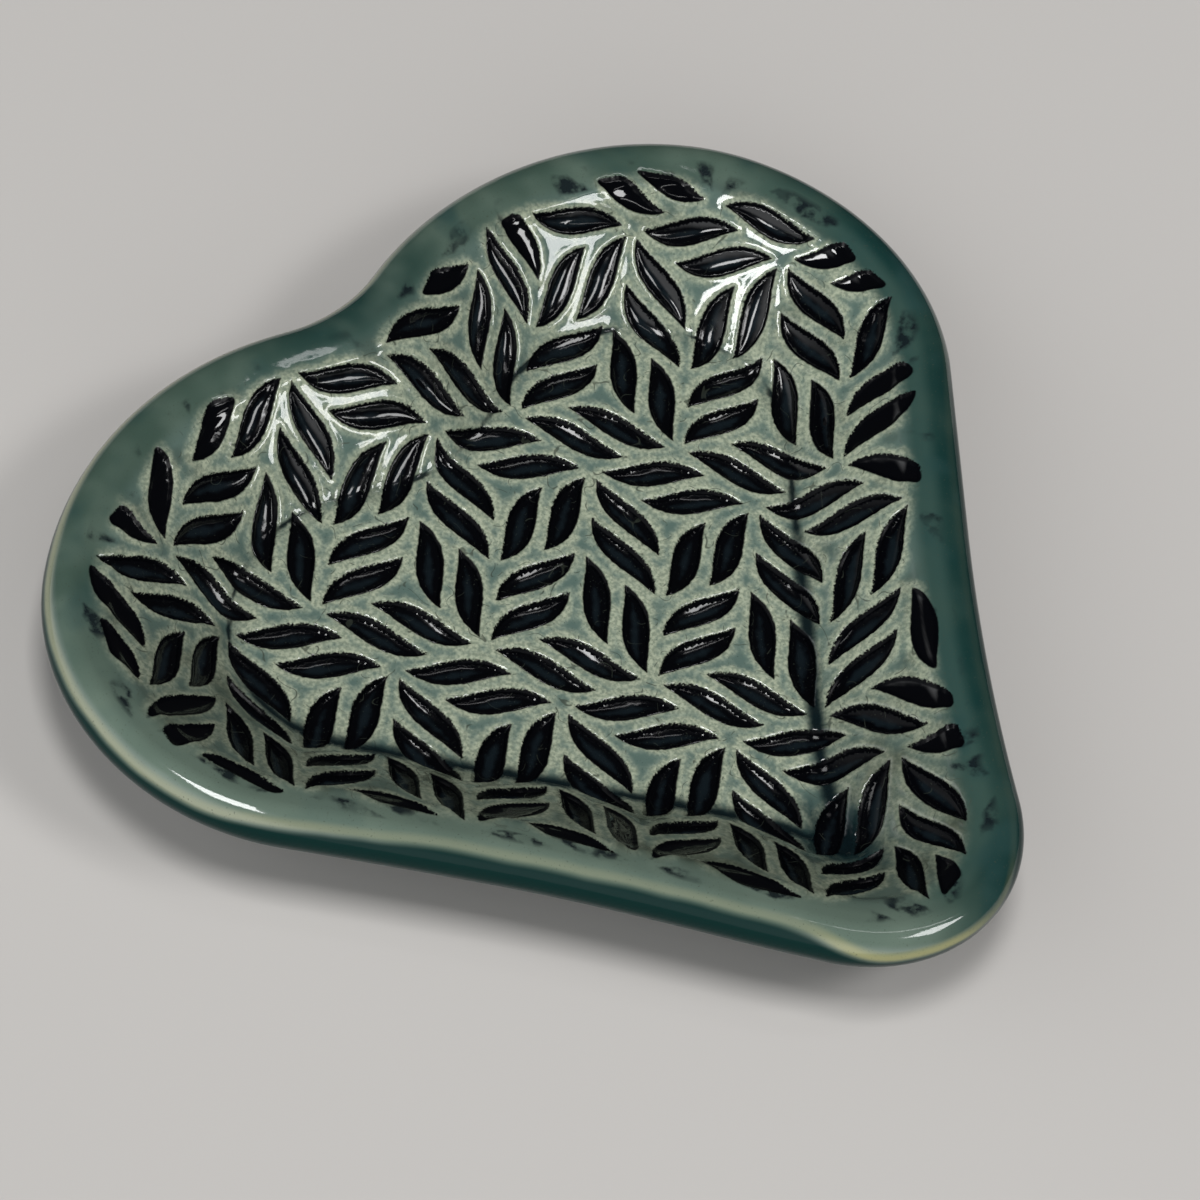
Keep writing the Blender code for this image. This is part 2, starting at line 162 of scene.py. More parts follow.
# How the finish changes over the surface. A change is (start, end), or with its first and last level
# too. It runs in millimetres from a leaf's edge, the crease or the wall's end, and in metres toward a
# side of the dish. A swing is (size, reach), patches (size, detail) and their change, a bump (size,
# detail, height) and hairlines (size, width, size of their patches). Levels alone are its (first, last).
DIAGONAL_SHARE = 0.707  # of x and y, in the ways forward and rightward
NOISE_MIDDLE = 0.5
SWING_GAIN = 4  # noise keeps within about a quarter of its middle
HAIR_CORE_SHARE = 0.3
HAIR_PATCH_CHANGE = (0.50, 0.57)
WEB_SWINGS = ((0.008, 0.55), (0.0024, 0.60), (0.0007, 0.24))
WEB_GRAIN = (0.00050, 4.0, 0.34, 0.66)
WEB_TO_SAGE = (0.22, 1.40)
WEB_TO_POOL = (0.85, 1.95)
WALL_START = (-4.0, 3.0)
# The wall's darkening toward the viewer is partly painted shade
WALL_NEAR_SHADE = (-0.005, 0.030, 0.12, 0.56)
WALL_PATCHES = (0.0065, 3.0, 0.48, 0.72, 0.0, 0.34)
RIM_SWING = (0.016, 0.3)
SIDE_SWING = (0.02, 0.008)
RIGHT_SIDE = (0.004, 0.030)
RIGHT_START = (-0.012, 0.006)
FAR_SIDE = (-0.004, 0.026)
NOTCH_SIDES = (0.024, 0.004)
NOTCH_BACK = (0.030, 0.042, 0.0, 0.8)
BAND_START = (-4.2, -1.2)
BAND_RIGHT_WAY = 1.3  # the band starts so much further in, on the right
BAND_TO_DEEP = (-1.6, 0.5)
BAND_CLOUDS = (0.009, 2.0, 0.35, 0.75, 0.0, 0.4)
BAND_BLUES = (0.010, 2.0, 0.53, 0.70, 0.0, 0.65)
BAND_NEAR = (0.008, 0.034, 0.0, 0.6)
BAND_NOT_RIGHT = (0.7, 0.0)
TIP_FRONT = (-0.045, -0.058)
TIP_SIDE = (0.015, 0.002)
CREST_WAY = 2.5  # from the wall's end to where the thin glaze of the crest ends
CREST_BACK = (-0.012, 0.014, 0.0, 2.0)  # and so much further toward the back
CREST_TIP_WAY = 2.9  # and at the heart's tip
CREST_RISE = (-1.7, -0.6)
CREST_FALL = (0.4, -0.4)
CREST_FAR_LEVELS = (1.0, 0.22)
CREST_FURTHER = (0.0, 2.0, 0.45, 0.8)  # its strength, by how much further out it lies
CREST_RIGHT = (0.3, 1.0, 1.0, 0.4)
DEEP_START = (-0.4, 0.8)
CREASE_SWINGS = ((0.0012, 0.16), (0.005, 0.25))
CREASE_TIPWARD = (0.016, -0.018)
# The crease's painted shade grows toward the viewer
CREASE_NEAR_SHADE = (0.008, 0.024)
CREASE_HALO = (2.1, 0.3)
CREASE_HALO_LEVELS = (0.30, 0.80)
CREASE_CORNER_Y = -0.0385  # where the folds meet at the heart's tip
CORNER_SWING = (0.003, 0.0012)
# Pooled glaze and painted shade where the folds meet at the tip
CORNER_POOL_AND_SHADE = (0.0105, 0.0035, 0.0, 0.92)
CORNER_SHADE_DARK = (0.0070, 0.0020, 0.0, 0.85)
CREASE_REACH_LEVELS = (0.40, 1.25)
CREASE_LINE = (1.25, 0.1, 0.0, 0.95)
CREASE_PATCHES = (0.008, 2.0, 0.40, 0.58)
CREASE_SHOWN = (0.0, 0.9)
PRINT_SWING = (0.0016, 0.34, 3.0)  # with its detail
PRINT_REACH = (0.30, -0.45)
PRINT_INSIDE = (0.4, -1.0)
PRINT_PATCHES = (0.0085, 2.0, 0.47, 0.58)
PRINT_STREAKS = (0.0018, 3.0, 0.36, 0.56, 0.15, 0.95)
GLAZE_SPECKS = (0.00024, 1.0, 0.68, 0.74, 0.0, 0.6)
SPECKS_SHALLOW = (1.0, 0.3)
GLAZE_HAIRS = (0.0048, 0.010, 0.0021)
GLAZE_HAIRS_INSIDE = (-1.5, -4.0, 0.0, 0.75)
TORN_SWING = (0.00030, 0.17)
STAIN_SWING = (0.0006, 0.04)
STAIN_REACH = (0.22, -0.02)
DRY_OUTSIDE = (0.30, 0.0)
DRY_INSIDE = (-0.75, -0.30)
DRY_LEVELS = (1.0, 0.12)
GLAZE_GLOSS = (0.39, 0.08)
GLAZE_ROUGHNESS = (0.2, 0.9, 0.07, 0.24)
GLAZE_IOR = 1.6
GLAZE_BUMPS = ((0.0006, 3.0, 0.000004), (0.0028, 2.0, 0.00003))
SLIP_SWINGS = ((0.0014, 0.25), (0.006, 0.3))
SLIP_TO_POOL = (-0.9, -1.7)
SLIP_DUST = (0.00030, 1.0, 0.70, 0.76)
SLIP_HAIRS = (0.0060, 0.005, 0.0022)
SLIP_FLECK_SHARE = 0.35
SLIP_DULL_NEAR = (0.012, 0.034)
SLIP_DULL_RIGHT = (0.018, 0.028, 0.0, 0.8)
SLIP_GLOSS = (0.27, 0.02)
SLIP_ROUGHNESS = 0.11
SLIP_BUMPS = ((0.0006, 3.0, 0.000006), (0.0026, 2.0, 0.00006))
CLAY_CLOUDS = (0.012, 4.0, 0.35, 0.7)
CLAY_SPECKS = (0.0006, 1.0, 0.68, 0.74)
CLAY_ROUGHNESS = 0.85
CLAY_BUMP = (0.0005, 4.0, 0.00012)
FLOOR_ROUGHNESS = 0.7

# The photograph's camera, and the light in its room
CAMERA_AIM = Vector((0.00167, 0.00632, 0.0064))
CAMERA_AZIMUTH = math.radians(-152.01)
CAMERA_ELEVATION = math.radians(51.96)
CAMERA_DISTANCE = 0.7815
CAMERA_ROLL = math.radians(21.02)
CAMERA_LENS = 183.3
CAMERA_SENSOR = 36.0
CAMERA_SIGHT = 20.0
PICTURE_RIGHT = Vector((0.705, -0.709, 0.0))
PICTURE_BACK = Vector((0.709, 0.705, 0.0))
FLOOR_HALF = 3.0
LAMP_DISTANCE = 1.5
LAMPS = {  # name: (lean to the picture's right, lean to its back, size, power)
    "window_left": (-0.15, -0.17, (0.36, 0.49), 10.5),
    "window_right": (0.60, -0.17, (0.36, 0.49), 6.7),
    "ceiling_strip": (0.36, 0.15, (0.55, 0.07), 0.6),
}
ROOM_DARK_SIDE = 0.56 * PICTURE_BACK + 0.50 * PICTURE_RIGHT + Vector((0.0, 0.0, 0.66))
ROOM_FADE = (-0.22, 0.30)
ROOM_LIGHT = (1.7, 0.02)


def heading(angle):
    return np.array([math.cos(angle), math.sin(angle)])


def arc_points(start, way, radius, turn, steps):
    """Points of an arc that leaves start along way; a positive turn bends left. Its end comes last."""
    side = math.copysign(radius, turn)
    centre = start + side * heading(way + math.pi / 2)
    bends = way + turn * np.arange(1, steps + 1) / steps
    return centre + side * np.stack([np.sin(bends), -np.cos(bends)], axis=1)


def heart(notch_y, arcs, tip_radius, fineness):
    """A heart's closed outline, clockwise from its notch: arcs, one straight side and a round tip."""
    steps = [count * fineness for count in STRETCH_STEPS]
    points = [np.array([[0.0, notch_y]])]
    way = 0.0
    for (radius, turn), count in zip(arcs[:3], steps):
        points.append(arc_points(points[-1][-1], way, radius, turn, count))
        way += turn
    corner = points[-1][-1]
    hollow = arc_points(np.zeros(2), way, *arcs[3], steps[4])
    hollow_end = way + arcs[3][1]
    tip = arc_points(np.zeros(2), hollow_end, tip_radius, -math.pi - hollow_end, steps[5])
    length = -(corner[0] + hollow[-1][0] + tip[-1][0]) / math.cos(way)
    stations = np.arange(1, steps[3] + 1)[:, None] / steps[3]
    side = corner + stations * length * heading(way)
    half = np.vstack(points + [side, side[-1] + hollow, side[-1] + hollow[-1] + tip])
    half[0, 0] = half[-1, 0] = 0.0
    return np.vstack([half, (half * [-1, 1])[-2:0:-1]])


def spoke_ways():
    """The heading of each spoke. Stretch for stretch, the spokes turn as the rim does."""
    turns = [turn for _, turn in RIM_ARCS[:3]] + [0.0, RIM_ARCS[3][1]]
    turns.append(-math.pi - sum(turns))
    ways = [math.pi / 2]
    for turn, count in zip(turns, STRETCH_STEPS):
        count *= SPOKES_PER_STEP
        ways += [ways[-1] + turn * step / count for step in range(1, count + 1)]
    return ways + [math.pi - way for way in ways[-2:0:-1]]


def reach_of(starts, ways, outline):
    """How far each ray runs from its start to a closed outline."""
    rays = np.array([heading(way) for way in ways])
    toward = outline[None, :, :] - starts[:, None, :]
    off = rays[:, :1] * toward[:, :, 1] - rays[:, 1:] * toward[:, :, 0]
    along = (toward * rays[:, None, :]).sum(axis=2)
    off_next, along_next = np.roll(off, -1, axis=1), np.roll(along, -1, axis=1)
    crosses = (off * off_next <= 0) & (off != off_next)
    share = off / np.where(crosses, off - off_next, 1.0)
    distance = along + share * (along_next - along)
    return rays, np.where(crosses & (distance > 0), distance, np.inf).min(axis=1)


def wall_profile(run):
    """The wall's inner face on one spoke: (out, up, slope) at even steps of its length, and its length."""
    foot = np.array([0.0, SLAB_THICKNESS])
    rim_centre = np.array([run - RIM_RADIUS, RIM_HEIGHT - RIM_RADIUS])
    lip = rim_centre + RIM_RADIUS * heading(WALL_LIP_SLOPE + math.pi / 2)
    handle = HANDLE_SHARE * np.linalg.norm(lip - foot)
    bend = foot + handle * heading(WALL_FOOT_SLOPE)
    ease = lip - handle * heading(WALL_LIP_SLOPE)
    t = np.linspace(0.0, 1.0, CURVE_SAMPLES + 1)[:, None]
    curve = foot * (1 - t) ** 3 + 3 * bend * t * (1 - t) ** 2 + 3 * ease * t**2 * (1 - t) + lip * t**3
    chord = np.diff(curve, axis=0)
    walked = np.concatenate([[0.0], np.cumsum(np.linalg.norm(chord, axis=1))])
    even = np.linspace(0.0, walked[-1], WALL_STEPS + 1)
    middle = (walked[1:] + walked[:-1]) / 2
    slope = np.interp(even, middle, np.arctan2(chord[:, 1], chord[:, 0]))
    slope[0], slope[-1] = WALL_FOOT_SLOPE, WALL_LIP_SLOPE
    return np.interp(even, walked, curve[:, 0]), np.interp(even, walked, curve[:, 1]), slope, walked[-1]


def inside_of(points, line):
    """Whether each point lies inside a closed line."""
    a, b = line, np.roll(line, -1, axis=0)
    x, y = points[:, 0, None], points[:, 1, None]
    spans = (a[:, 1] > y) != (b[:, 1] > y)
    rise = np.where(b[:, 1] == a[:, 1], 1.0, b[:, 1] - a[:, 1])
    crossing = a[:, 0] + (y - a[:, 1]) * (b[:, 0] - a[:, 0]) / rise
    return (spans & (x < crossing)).sum(axis=1) % 2 == 1


def gap_to(points, line):
    """Each point's distance from a closed line."""
    edge = np.roll(line, -1, axis=0) - line
    toward = points[:, None, :] - line
    share = np.clip((toward * edge).sum(axis=2) / (edge**2).sum(axis=1), 0.0, 1.0)
    return np.linalg.norm(toward - share[:, :, None] * edge, axis=2).min(axis=1)


def smooth(value, start, end):
    """An even S from nothing at start to one at end."""
    share = np.clip((value - start) / (end - start), 0.0, 1.0)
    return share * share * (3 - 2 * share)


class Drape:
    """Carries points of the flat slab onto the formed dish, along spokes from the crease to the rim."""

    def __init__(self):
        self.crease = heart(CREASE_NOTCH_Y, CREASE_ARCS, CREASE_TIP_RADIUS, SPOKES_PER_STEP)
        rim_line = heart(RIM_NOTCH_Y, RIM_ARCS, RIM_TIP_RADIUS, SPOKES_PER_STEP * RIM_LINE_FINENESS)
        self.out, self.run = reach_of(self.crease, spoke_ways(), rim_line)
        spokes = np.arange(len(self.crease))
        for spoke, spread, way in RIM_SWELLS:
            self.run += way * np.exp(-(((spokes - spoke) / spread) ** 2))
        profiles = [wall_profile(run) for run in self.run]
        self.reach, self.rise, self.slope = (
            np.array([profile[part] for profile in profiles]) for part in range(3)
        )
        self.length = np.array([profile[3] for profile in profiles])
        self.count = len(self.crease)

    def place(self, spoke, out, up):
        """The formed point of one spoke, or of all of them, at a distance out and a height up."""
        plan = self.crease[spoke] + self.out[spoke] * np.asarray(out)[..., None]
        height = np.broadcast_to(np.asarray(up, float), plan.shape[:-1])
        return np.concatenate([plan - [0.0, PLAN_MIDDLE], height[..., None]], axis=-1)

    def flat_ring(self):
        """The slab's flat outline where the wall ends."""
        return self.crease + self.out * self.length[:, None]

    def wall_length(self, spoke):
        """The wall's length on fractional spokes."""
        first = spoke.astype(int) % self.count
        across = spoke % 1
        return self.length[first] * (1 - across) + self.length[(first + 1) % self.count] * across

    def locate(self, points):
        """Each flat point's spoke, as a fractional number, and its way past the crease, minus inside."""
        parts = [self.locate_some(some) for some in np.array_split(points, 1 + len(points) // CHUNK)]
        return np.concatenate([part[0] for part in parts]), np.concatenate([part[1] for part in parts])

    def locate_some(self, points):
        """The same for one chunk of points. Those beyond every spoke are infinitely far past."""
        toward = points[:, None, :] - self.crease
        turn = self.out[:, 0] * toward[:, :, 1] - self.out[:, 1] * toward[:, :, 0]
        ahead = (toward * self.out).sum(axis=2)
        after = np.roll(turn, -1, axis=1)
        between = (turn <= 0) & (after > 0) & (ahead > -self.length)
        nearness = np.where(between, np.abs(ahead), np.inf)
        spoke = nearness.argmin(axis=1)
        rows = np.arange(len(points))
        lost = ~between[rows, spoke]
        share = turn[rows, spoke] / np.where(lost, 1.0, turn[rows, spoke] - after[rows, spoke])
        following = self.crease[(spoke + 1) % self.count]
        start = self.crease[spoke] * (1 - share[:, None]) + following * share[:, None]
        past = np.linalg.norm(points - start, axis=1)
        past[lost] = np.inf
        floor = inside_of(points, self.crease)
        past[floor] = -gap_to(points[floor], self.crease)
        return spoke + share, past

    def blended(self, table, spoke, step):
        """A table of spokes by steps, read between both."""
        first = spoke.astype(int) % self.count
        following = (first + 1) % self.count
        low = np.minimum(step.astype(int), WALL_STEPS - 1)
        across = (spoke % 1)[:, None]
        along = (step - low)[:, None]
        near = table[first, low] * (1 - along) + table[first, low + 1] * along
        far = table[following, low] * (1 - along) + table[following, low + 1] * along
        return near * (1 - across) + far * across

    def form(self, points, depth, spoke, past):
        """Flat points pressed in by depth, carried onto the formed dish, with the fold eased."""
        step = np.clip(past / self.wall_length(spoke), 0.0, 1.0) * WALL_STEPS
        face = self.place(np.arange(self.count)[:, None], self.reach, self.rise)
        slope = self.slope[:, :, None]
        lean = np.concatenate([-self.out[:, None, :] * np.sin(slope), np.cos(slope)], axis=2)
        point = self.blended(face, spoke, step)
        floor = past <= 0.0
        flat = points[floor] - [0.0, PLAN_MIDDLE]
        point[floor] = np.column_stack([flat, np.full(len(flat), SLAB_THICKNESS)])
        rest = np.maximum(FOLD_EASE - np.abs(past), 0.0)
        point[:, 2] += math.tan(WALL_FOOT_SLOPE) * rest**2 / (4 * FOLD_EASE)
        wall_share = np.clip((past + FOLD_EASE) / (2 * FOLD_EASE), 0.0, 1.0)[:, None]
        normal = self.blended(lean, spoke, step) * wall_share + (1 - wall_share) * [0.0, 0.0, 1.0]
        normal /= np.linalg.norm(normal, axis=1)[:, None]
        return point - normal * depth[:, None]


def leaf_outline(leaf, drawn_in=0.0, ragged=0.0, seed=0):
    """A leaf's closed line: two arched sides from tip to tip, their bellies shifted apart."""
    centre, angle, hand = leaf
    end = math.sqrt(1 - 2 * drawn_in / LEAF_WIDTH)
    t = end * np.linspace(-1.0, 1.0, LEAF_STATIONS + 1)
    arch = LEAF_WIDTH / 2 * (1 - t**2)
    middle = arch * hand * LEAF_TWIST_SHARE * t
    along = LEAF_LENGTH / 2 * t
    right = np.column_stack([along, middle - arch + drawn_in])
    left = np.column_stack([along, middle + arch - drawn_in])
    line = np.vstack([right, left[-2:0:-1]])
    if ragged:
        line = line + np.random.default_rng(seed).normal(0.0, ragged, line.shape)
    return centre + line[:, :1] * heading(angle) + line[:, 1:] * heading(angle + math.pi / 2)


def stamped_leaves():
    """All the leaves that the stamp could leave, over more than the whole slab."""
    spoke_length = STAMP_PITCH / (2 * math.sqrt(3))
    along, across = heading(STAMP_TURN - math.pi / 2), heading(STAMP_TURN)
    leaves = []
    for row in range(-STAMP_ROWS, STAMP_ROWS + 1):
        odd = row % 2
        hand = -1 if odd else 1
        for column in range(-STAMP_ROWS, STAMP_ROWS + 1):
            centre = np.array(STAMP_START) + (column + odd / 2) * STAMP_PITCH * along
            centre = centre + row * STAMP_PITCH * math.sqrt(3) / 2 * across
            for third in range(3):
                angle = STAMP_TURN + odd * math.pi + third * 2 * math.pi / 3
                pair = centre + spoke_length * heading(angle)
                step = spoke_length / 2 * heading(angle + hand * math.pi / 3)
                for sign in (-1, 1):
                    leaves.append((pair + sign * step, angle - hand * LEAF_LEAN, hand))
    return leaves


def cut_short(line, over):
    """The part of a closed line where over, a distance past a limit, isn't above zero."""
    kept = []
    for i in range(len(line)):
        before, here = over[i - 1], over[i]
        if (before > 0) != (here > 0):
            kept.append(line[i - 1] + (line[i] - line[i - 1]) * before / (before - here))
        if here <= 0:
            kept.append(line[i])
    return np.array(kept)


def rounded(line, near):
    """A cut leaf's line with even points, smoothed where near, its share between 0 and 1, says so."""
    closed = np.vstack([line, line[:1]])
    walked = np.concatenate([[0.0], np.cumsum(np.linalg.norm(np.diff(closed, axis=0), axis=1))])
    count = int(walked[-1] / CUT_SPACING)
    at = np.arange(count) * walked[-1] / count
    even = np.column_stack([np.interp(at, walked, closed[:, 0]), np.interp(at, walked, closed[:, 1])])
    share = np.interp(at, walked, np.append(near, near[0]))[:, None]
    reach = int(CUT_ROUNDING / CUT_SPACING)
    soft = sum(np.roll(even, shift, axis=0) for shift in range(-reach, reach + 1)) / (2 * reach + 1)
    return even * (1 - share) + soft * share


def area(line):
    following = np.roll(line, -1, axis=0)
    return (line[:, 0] * following[:, 1] - line[:, 1] * following[:, 0]).sum() / 2


def slab_leaves(drape):
    """The leaves on the slab as (leaf, its line, whether it is whole), and the prints left out of them."""
    leaves, faint = [], []
    for number, leaf in enumerate(stamped_leaves()):
        plain = leaf_outline(leaf)
        spoke, past = drape.locate(plain)
        if past.max() == np.inf:
            continue
        over = past - drape.wall_length(spoke) + PLAIN_BAND
        over += CUT_SWING * np.array([noise.noise(Vector((x, y, 0)) / CUT_SWING_SIZE) for x, y in plain])
        whole = over.max() <= 0
        line = cut_short(leaf_outline(leaf, 0.0, EDGE_RAGGED, number), over)
        if len(line) and area(line) > LEAST_LEAF_SHARE * area(plain):
            if not whole:
                spoke, past = drape.locate(line)
                edge = drape.wall_length(spoke) - past
                line = rounded(line, smooth(edge, edge.min() + CUT_REACH, edge.min() + CUT_ROUNDING))
            leaves.append((leaf, line, whole))
        if not whole:
            faint.append((leaf, plain, False))
    return leaves, faint


def gaps_of(points, leaves):
    """Each point's distance from the nearest leaf's edge, minus inside, and that leaf's number."""
    gap = np.full(len(points), FAR)
    owner = np.zeros(len(points), int)
    for number, (leaf, line, _) in enumerate(leaves):
        near = np.flatnonzero(np.linalg.norm(points - leaf[0], axis=1) < LEAF_LENGTH / 2 + FAR)
        found = gap_to(points[near], line)
        found[inside_of(points[near], line)] *= -1
        closer = found < gap[near]
        gap[near[closer]] = found[closer]
        owner[near[closer]] = number
    return gap, owner


class Field:
    """Flat points of the slab, with what the relief and the finish need to know about each."""

    def __init__(self, drape, leaves, flat):
        self.drape, self.flat = drape, flat
        self.spoke, self.past = drape.locate(flat)
        self.to_edge = drape.wall_length(self.spoke) - np.maximum(self.past, 0.0)
        self.gap, owner = gaps_of(flat, leaves)
        self.pressed = np.array([1.0 if whole else CUT_LEAF_SHARE for _, _, whole in leaves])[owner]
        centre = np.array([leaf[0] for leaf, _, _ in leaves])[owner]
        along = np.array([heading(leaf[1]) for leaf, _, _ in leaves])[owner]
        across = np.array([heading(leaf[1] + math.pi / 2) for leaf, _, _ in leaves])[owner]
        hand = np.array([leaf[2] for leaf, _, _ in leaves])[owner]
        off = ((flat - centre) * across).sum(axis=1)
        self.torn = smooth(np.sign(off) * (across @ DRAG), *DRAG_SPAN)
        t = np.clip(((flat - centre) * along).sum(axis=1) / (LEAF_LENGTH / 2), -1.0, 1.0)
        arch = LEAF_WIDTH / 2 * (1 - t**2)
        half = np.maximum(arch - SLIP_EDGE, HAIR)
        hollow = np.clip(1 - ((off - arch * hand * LEAF_TWIST_SHARE * t) / half) ** 2, 0.0, 1.0)
        self.hollow = hollow * half / (LEAF_WIDTH / 2 - SLIP_EDGE)

    def waves(self, waves):
        """The slab's slow unevenness at each point."""
        return sum(
            height * np.array([noise.noise(Vector((x / size, y / size, size))) for x, y in self.flat])
            for size, height in waves
        )

    def ground(self):
        """How deep the clay between the leaves lies below the plain slab."""
        gap = np.maximum(self.gap, 0.0)
        ridge = RIDGE_HEIGHT * np.exp(-(((gap - RIDGE_PLACE) / RIDGE_SPREAD) ** 2))
        shoulder = SHOULDER_DROP * np.maximum(1 - gap / SHOULDER_WIDTH, 0.0) ** 2
        pool = POOL_DEPTH * smooth(gap, *POOL_SPAN)
        groove = GROOVE_DEPTH * np.exp(-((self.past / GROOVE_SPREAD) ** 2))
        groove *= smooth(self.gap, 0.0, GROOVE_SPREAD)
        calm = smooth(self.to_edge, 0.0, CALM_WIDTH)
        rolling = pool + self.pressed * (shoulder - ridge) + self.waves(WAVES)
        bulge = BULGE_HEIGHT * np.exp(-(((self.to_edge - BULGE_PLACE) / BULGE_SPREAD) ** 2))
        return calm * rolling + groove - bulge

    def slip_depth(self):
        """How deep the face lies: down a leaf's steep side, then over the shallow bowl of its slip."""
        inside = np.maximum(-self.gap, 0.0)
        side = LEAF_SIDE_DROP * smooth(inside, -SLIP_EDGE * SIDE_START_SHARE, SLIP_EDGE)
        side = np.where(inside > 0, side, 0.0)
        share = np.clip((inside - SLIP_EDGE) / (LEAF_WIDTH / 2 - SLIP_EDGE), 0.0, 1.0)
        share = np.where(self.pressed < 1.0, 1 - (1 - share) ** 2, self.hollow)
        deep = SLIP_BOWL + WALL_BOWL * smooth(self.past, *WALL_BOWL_SPAN) + self.waves(SLIP_WAVES)
        return self.ground() + self.pressed * (side + share * deep)

    def lift(self, depth):
        """The points on the formed dish, pressed in by depth."""
        return self.drape.form(self.flat, depth, self.spoke, self.past)


def far_from(points, others, distance):
    """The points that have none of the others within a distance."""
    tree = KDTree(len(others))
    for number, (x, y) in enumerate(others):
        tree.insert((x, y, 0.0), number)
    tree.balance()
    return np.array([(x, y) for x, y in points if tree.find((x, y, 0.0))[2] > distance])


def even_field(line, grain):
    """Points spread evenly over the box round a line."""
    low, high = line.min(axis=0), line.max(axis=0)
    rows = np.arange(low[1], high[1], grain * math.sqrt(3) / 2)
    x, y = np.meshgrid(np.arange(low[0], high[0], grain), rows)
    x = x + (np.arange(len(x)) % 2)[:, None] * grain / 2
    return np.column_stack([x.ravel(), y.ravel()])


def triangulated(outline, lines, loose):
    """Triangles of the area inside an outline, along the closed lines and through the loose points."""
    loops = [outline] + lines
    points = np.vstack(loops + [loose])
    edges = []
    start = 0
    for loop in loops:
        size = len(loop)
        edges += [(start + i, start + (i + 1) % size) for i in range(size)]
        start += size
    found, _, faces, sources, _, _ = delaunay_2d_cdt(points.tolist(), edges, [], 0, HAIR / 2)
    flat = np.array([tuple(point) for point in found])
    faces = np.array(faces)
    centres = flat[faces].mean(axis=1)
    inside = [inside_of(some, outline) for some in np.array_split(centres, 1 + len(centres) // CHUNK)]
    faces = faces[np.concatenate(inside)]
    used, corners = np.unique(faces, return_inverse=True)
    place = {first: number for number, source in enumerate(sources) for first in source}
    edge = np.searchsorted(used, [place[i] for i in range(len(outline))])
    return flat[used], corners.reshape(-1, 3), edge


def slab_mesh(drape, leaves):
    """The slab's stamped face, flat: fine between the leaves, coarse under the slip."""
    ring = drape.flat_ring()
    filled = [entry for entry in leaves if entry[2]]
    slip_lines = [leaf_outline(leaf, SLIP_EDGE) for leaf, _, _ in filled]
    deep_rings = [leaf_outline(leaf, DEEP_RING)[::2] for leaf, _, _ in filled]
    lines = [line for _, line, _ in leaves] + slip_lines
    folds = np.vstack([drape.crease + drape.out * way for way in FOLD_ROWS])
    borders = np.vstack([ring] + lines)
    folds = far_from(folds, borders, CLEAR_OF_LINES)
    field = even_field(ring, GRAIN)
    gap, _ = gaps_of(field, filled)
    deep = even_field(ring, DEEP_GRAIN)
    deep_gap, _ = gaps_of(deep, filled)
    field = far_from(field[gap > -SLIP_EDGE], np.vstack([borders, folds]), GRAIN * CLEAR_SHARE)
    loose = np.vstack([folds, field, deep[deep_gap < -DEEP_CLEAR]] + deep_rings)
    return triangulated(ring, lines, loose)


def added(name, data):
    """A new object in the scene."""
    made = bpy.data.objects.new(name, data)
    bpy.context.scene.collection.objects.link(made)
    return made


def piece(name, points, faces, finishes, attributes, numbers=None):
    """A mesh piece that rides on the part's one body, with its finishes and the attributes they read."""
    mesh = bpy.data.meshes.new(name)
    mesh.from_pydata(np.asarray(points).tolist(), [], faces)
    for finish in finishes:
        mesh.materials.append(finish)
    if numbers is not None:
        mesh.polygons.foreach_set("material_index", numbers)
    for label, values in attributes.items():
        made = mesh.attributes.new(label, "FLOAT", "POINT")
        made.data.foreach_set("value", np.asarray(values, np.float32))
    mesh.shade_smooth()
    body = added(name, mesh)
    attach(body, "root")
    return body


def rim_and_underside(drape):
    """Rings from the wall's end round the rim to the base's edge, with how far along each one lies."""
    everyone = np.arange(drape.count)
    centre = drape.run - RIM_RADIUS
    rings = []
    for step in range(1, RIM_STEPS + 1):
        angle = WALL_LIP_SLOPE + math.pi / 2 - math.pi * step / RIM_STEPS
        out = centre + RIM_RADIUS * math.cos(angle)
        ring = drape.place(everyone, out, RIM_HEIGHT - RIM_RADIUS + RIM_RADIUS * math.sin(angle))
        rings.append((ring, RIM_RADIUS * math.pi * step / RIM_STEPS))
    round_rim = rings[-1][1]
    for step in range(UNDERSIDE_STEPS - 1, -1, -1):
        at = step * WALL_STEPS // UNDERSIDE_STEPS
        slope = drape.slope[:, at]
        out = drape.reach[:, at] + SLAB_THICKNESS * np.sin(slope)
        up = drape.rise[:, at] - SLAB_THICKNESS * np.cos(slope)
        along = round_rim + (1 - at / WALL_STEPS) * drape.length.mean()
        rings.append((drape.place(everyone, out, up), along))
    foot = SLAB_THICKNESS * math.tan(WALL_FOOT_SLOPE / 2)
    rings.append((drape.place(everyone, np.full(drape.count, foot), 0.0), rings[-1][1] + foot))
    return rings


